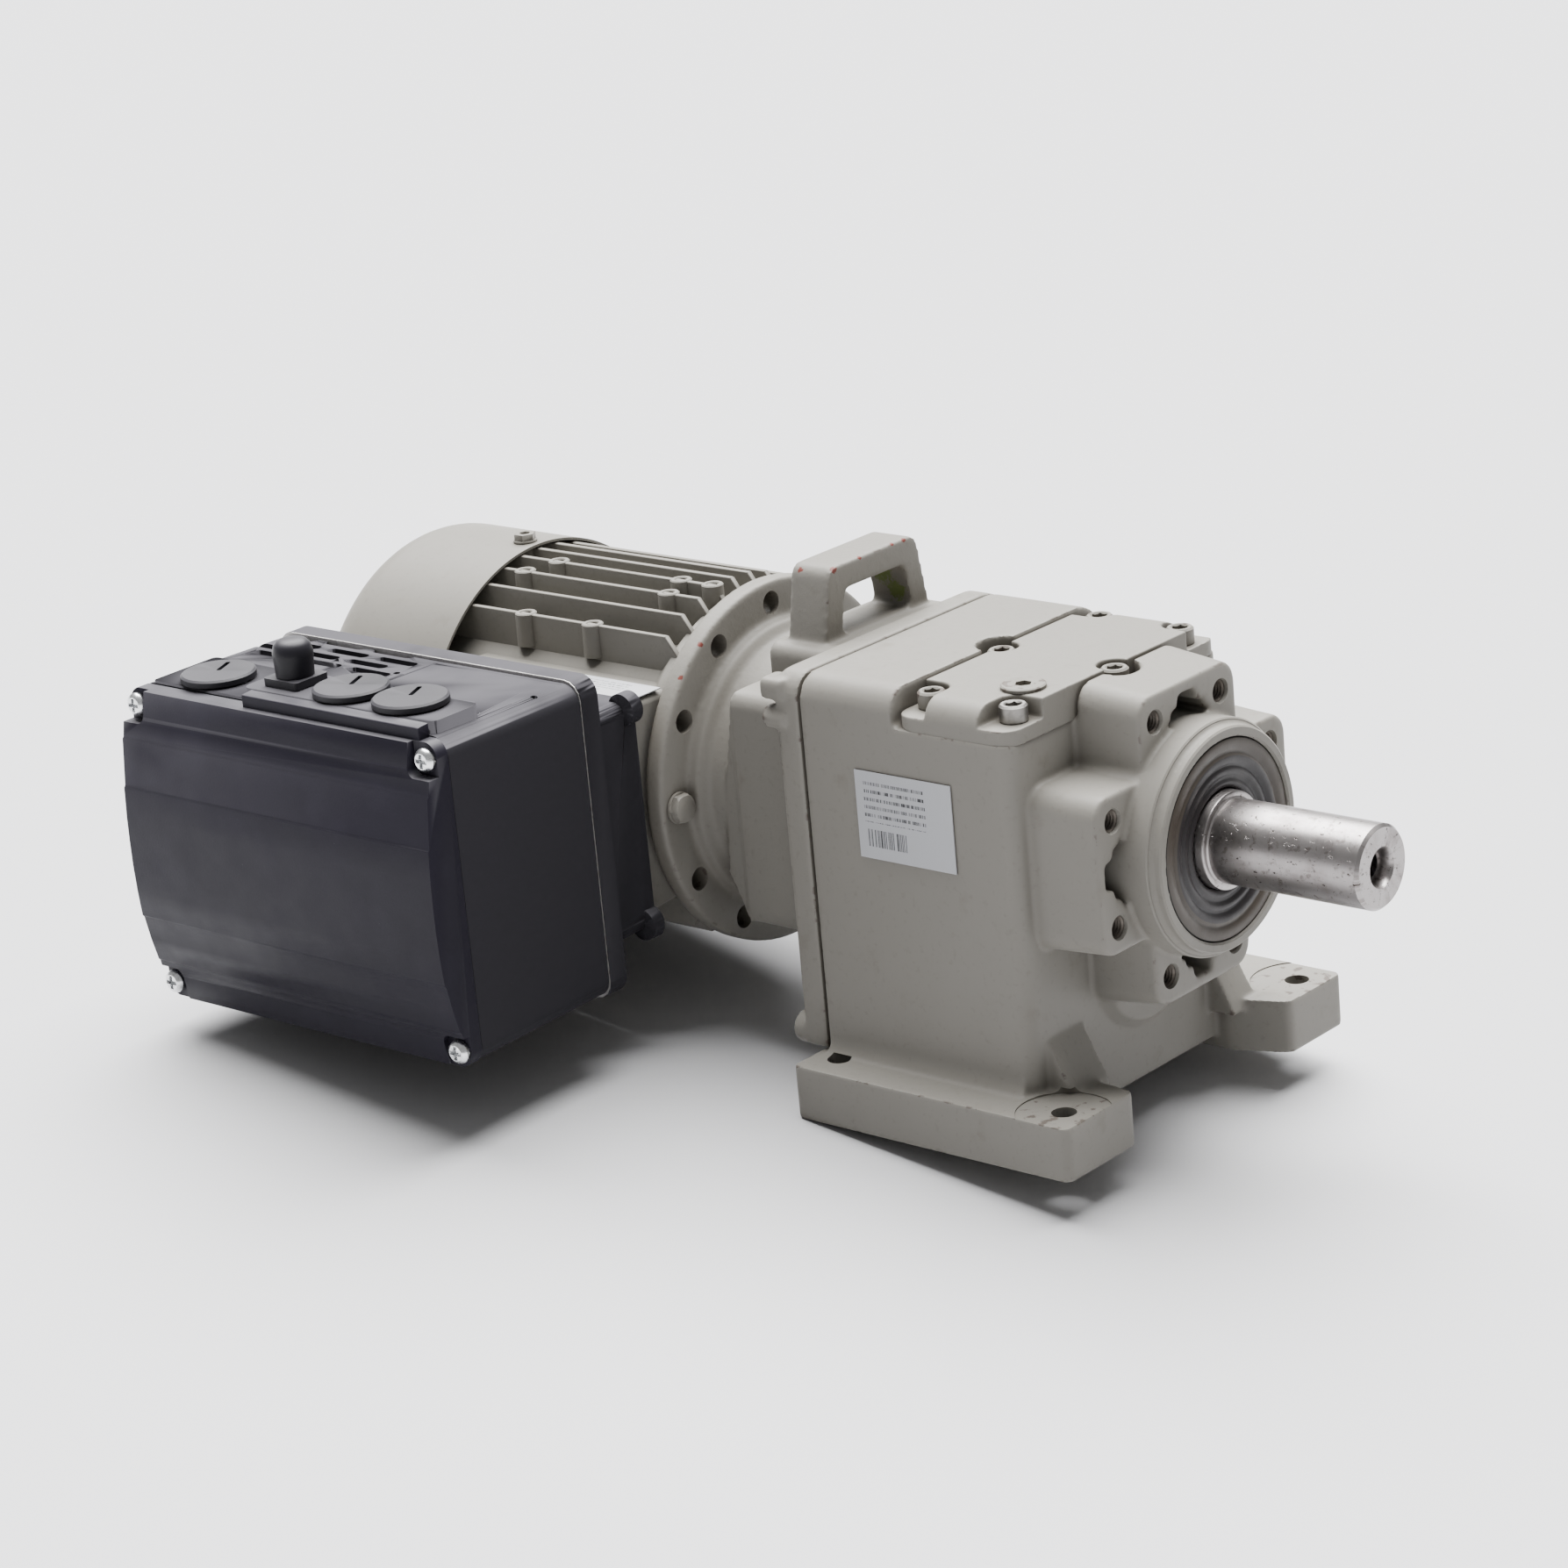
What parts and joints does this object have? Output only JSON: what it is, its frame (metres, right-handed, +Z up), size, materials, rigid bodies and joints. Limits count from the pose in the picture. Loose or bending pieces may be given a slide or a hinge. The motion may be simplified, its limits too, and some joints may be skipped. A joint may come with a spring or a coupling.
{
  "type": "gearmotor",
  "caption": "Foot-mounted in-line helical gearmotor: cast gear case with output shaft and lifting handle, finned motor with fan cover, and a black inverter box on the motor's side",
  "frame": {"origin": "middle of the four foot holes, in the plane of the feet's undersides", "axes": "+X along the output shaft, out of the gear case; +Z up from the feet; the inverter and type plate are on the -Y side"},
  "size_m": [0.4465, 0.2702, 0.186],
  "materials": {
    "grey_paint": "stone-grey enamel over cast iron and aluminium, slightly rough, chipped at edges",
    "bright_steel": "turned and ground steel with light rust stains",
    "dark_steel": "oiled gear and bearing steel",
    "zinc_steel": "bright zinc-plated screws",
    "black_housing": "black satin powder coat on a die-cast housing, dusty",
    "black_plastic": "black moulded plastic",
    "black_rubber": "black-brown rubber",
    "stator_core": "laminated steel with copper windings, seen only with the motor open",
    "white_label": "white printed label, kept blank",
    "board_green": "green circuit board"
  },
  "bodies": {
    "base": {"gear_housing": "grey_paint", "top_cover": "grey_paint", "oil_plug": "grey_paint", "adapter_housing": "grey_paint", "motor_housing": "grey_paint", "motor_rear_shield": "grey_paint", "fan_cover": "grey_paint", "flange_bolt_1": "grey_paint", "flange_bolt_2": "grey_paint", "flange_bolt_3": "grey_paint", "fan_cover_screw_1": "grey_paint", "fan_cover_screw_2": "grey_paint", "fan_cover_screw_3": "grey_paint", "cover_screw_1": "dark_steel", "cover_screw_2": "dark_steel", "cover_screw_3": "dark_steel", "cover_screw_4": "dark_steel", "cover_screw_5": "dark_steel", "cover_screw_6": "dark_steel", "shaft_seal": "black_rubber", "knob_cap": "black_rubber", "output_bearing_front": "dark_steel", "output_bearing_rear": "dark_steel", "intermediate_bearing_front": "dark_steel", "intermediate_bearing_rear": "dark_steel", "input_bearing": "dark_steel", "motor_bearing_front": "dark_steel", "motor_bearing_rear": "dark_steel", "stator": "stator_core", "blanking_plug_1": "black_plastic", "blanking_plug_2": "black_plastic", "blanking_plug_3": "black_plastic", "inverter_base": "black_housing", "inverter_body": "black_housing", "inverter_cover": "black_housing", "inverter_gasket": "white_label", "type_plate": "white_label", "motor_plate": "white_label", "inverter_cover_screw_1": "zinc_steel", "inverter_cover_screw_2": "zinc_steel", "inverter_cover_screw_3": "zinc_steel", "inverter_cover_screw_4": "zinc_steel", "inverter_rear_screw_1": "zinc_steel", "inverter_rear_screw_2": "zinc_steel", "inverter_rear_screw_3": "zinc_steel", "inverter_rear_screw_4": "zinc_steel", "circuit_board": "board_green"},
    "output": {"output_shaft": "bright_steel", "output_gear": "dark_steel"},
    "intermediate": {"intermediate_shaft": "dark_steel", "intermediate_gear": "dark_steel"},
    "rotor": {"input_shaft": "dark_steel", "shaft_coupling": "dark_steel", "rotor_shaft": "bright_steel", "rotor_core": "dark_steel", "fan": "black_plastic"}
  },
  "joints": [
    {"name": "rotor_spin", "type": "hinge", "parent": "base", "child": "rotor", "pos_m": [-0.2, 0, 0.1], "axis": [1, 0, 0], "continuous": true},
    {"name": "intermediate_spin", "type": "hinge", "parent": "base", "child": "intermediate", "pos_m": [0, 0, 0.054], "axis": [1, 0, 0], "continuous": true},
    {"name": "output_spin", "type": "hinge", "parent": "base", "child": "output", "pos_m": [0.05, 0, 0.1], "axis": [1, 0, 0], "continuous": true}
  ],
  "couplings": [
    {"joint": "intermediate_spin", "follows": "rotor_spin", "ratio": -0.19672},
    {"joint": "output_spin", "follows": "rotor_spin", "ratio": 0.047359}
  ]
}
